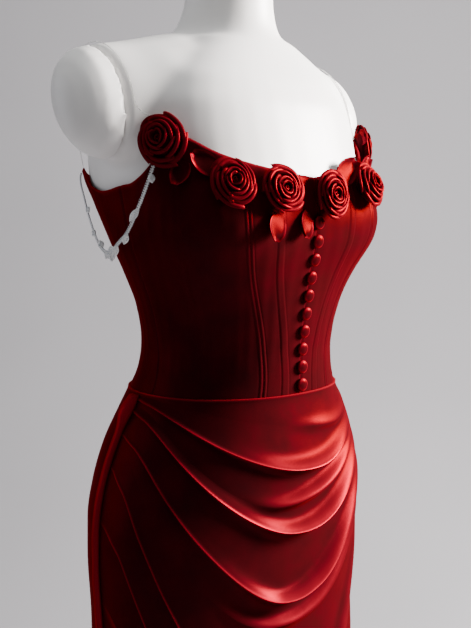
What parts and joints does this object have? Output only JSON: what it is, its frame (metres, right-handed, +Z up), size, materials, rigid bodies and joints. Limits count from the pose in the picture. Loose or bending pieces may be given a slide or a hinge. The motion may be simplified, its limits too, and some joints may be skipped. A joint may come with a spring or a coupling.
{
  "type": "column gown on dress form",
  "caption": "Floor-length velvet column gown with a corset bodice, rose neckline, covered buttons and a skirt draped to one hip, worn by a limbless dress form on a round stand.",
  "frame": {"origin": "on the floor, at the middle of the stand base's flat underside", "axes": "+Z up along the stand pole; the gown's front faces -Y and the wearer's right is -X"},
  "size_m": [0.4332, 0.3781, 1.492],
  "materials": {
    "velvet": "deep red short-pile velvet with a bright sheen at grazing angles",
    "form_shell": "satin white moulded shell",
    "stand_metal": "satin steel",
    "crystal": "clear rhinestones in a bright silver setting",
    "clear_strap": "clear glossy strap"
  },
  "bodies": {
    "root": {"bodice_centre_back_left": "velvet", "bodice_centre_back_right": "velvet", "bodice_centre_front_left": "velvet", "bodice_centre_front_right": "velvet", "bodice_side_back_left": "velvet", "bodice_side_back_right": "velvet", "bodice_side_front_left": "velvet", "bodice_side_front_right": "velvet", "button_1": "velvet", "button_10": "velvet", "button_2": "velvet", "button_3": "velvet", "button_4": "velvet", "button_5": "velvet", "button_6": "velvet", "button_7": "velvet", "button_8": "velvet", "button_9": "velvet", "casing_back_left": "velvet", "casing_back_right": "velvet", "casing_front_left": "velvet", "casing_front_right": "velvet", "casing_princess_left": "velvet", "casing_princess_right": "velvet", "casing_side_left": "velvet", "casing_side_right": "velvet", "clear_strap_left": "clear_strap", "clear_strap_right": "clear_strap", "crystal_vine_left": "crystal", "crystal_vine_right": "crystal", "form_torso": "form_shell", "petal_corner_left": "velvet", "petal_corner_right": "velvet", "petal_inner_left": "velvet", "petal_inner_right": "velvet", "petal_neck_left": "velvet", "petal_outer_left": "velvet", "petal_outer_right": "velvet", "rose_corner_left": "velvet", "rose_corner_right": "velvet", "rose_inner_left": "velvet", "rose_inner_right": "velvet", "rose_outer_left": "velvet", "rose_outer_right": "velvet", "shoulder_cap_left": "form_shell", "shoulder_cap_right": "form_shell", "skirt_back_left": "velvet", "skirt_back_right": "velvet", "skirt_front_drape": "velvet", "skirt_side_roll": "velvet", "stand_base": "stand_metal", "stand_pole": "stand_metal"}
  },
  "joints": []
}
